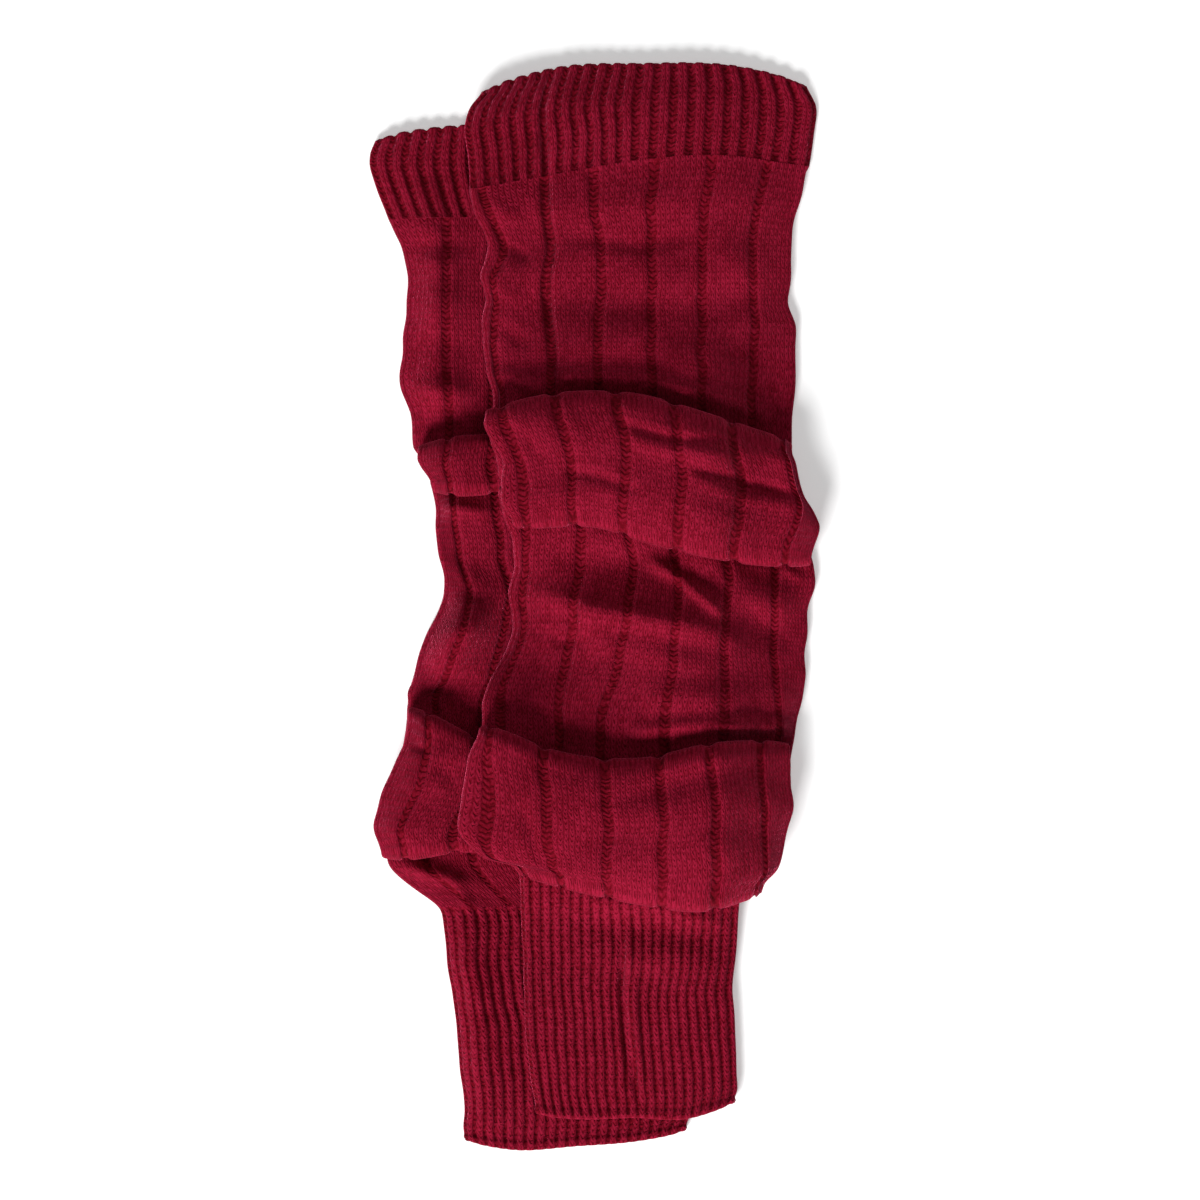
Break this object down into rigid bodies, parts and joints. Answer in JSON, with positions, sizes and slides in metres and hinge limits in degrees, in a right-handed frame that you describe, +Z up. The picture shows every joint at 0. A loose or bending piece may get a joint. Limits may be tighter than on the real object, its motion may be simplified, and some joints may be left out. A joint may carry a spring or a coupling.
{
  "type": "pair of leg warmers",
  "caption": "Slouched knit leg warmers with ribbed top and ankle cuffs, laid flat with one lying across the other.",
  "frame": {"origin": "on the surface the pair lies on, under the middle of its outline", "axes": "+Y along the leg warmers towards their top cuffs, +X to the right as laid out, +Z up from the surface"},
  "size_m": [0.1826, 0.4338, 0.0347],
  "materials": {
    "plain_knit": "matte, slightly fuzzy burgundy stocking stitch with narrow purl channels",
    "wide_rib_knit": "matte, slightly fuzzy burgundy knit in wide ribs",
    "fine_rib_knit": "matte, slightly fuzzy burgundy knit in narrow ribs"
  },
  "bodies": {
    "root": {"over_top_cuff": "wide_rib_knit", "over_leg": "plain_knit", "over_ankle_cuff": "fine_rib_knit", "under_top_cuff": "wide_rib_knit", "under_leg": "plain_knit", "under_ankle_cuff": "fine_rib_knit"}
  },
  "joints": []
}
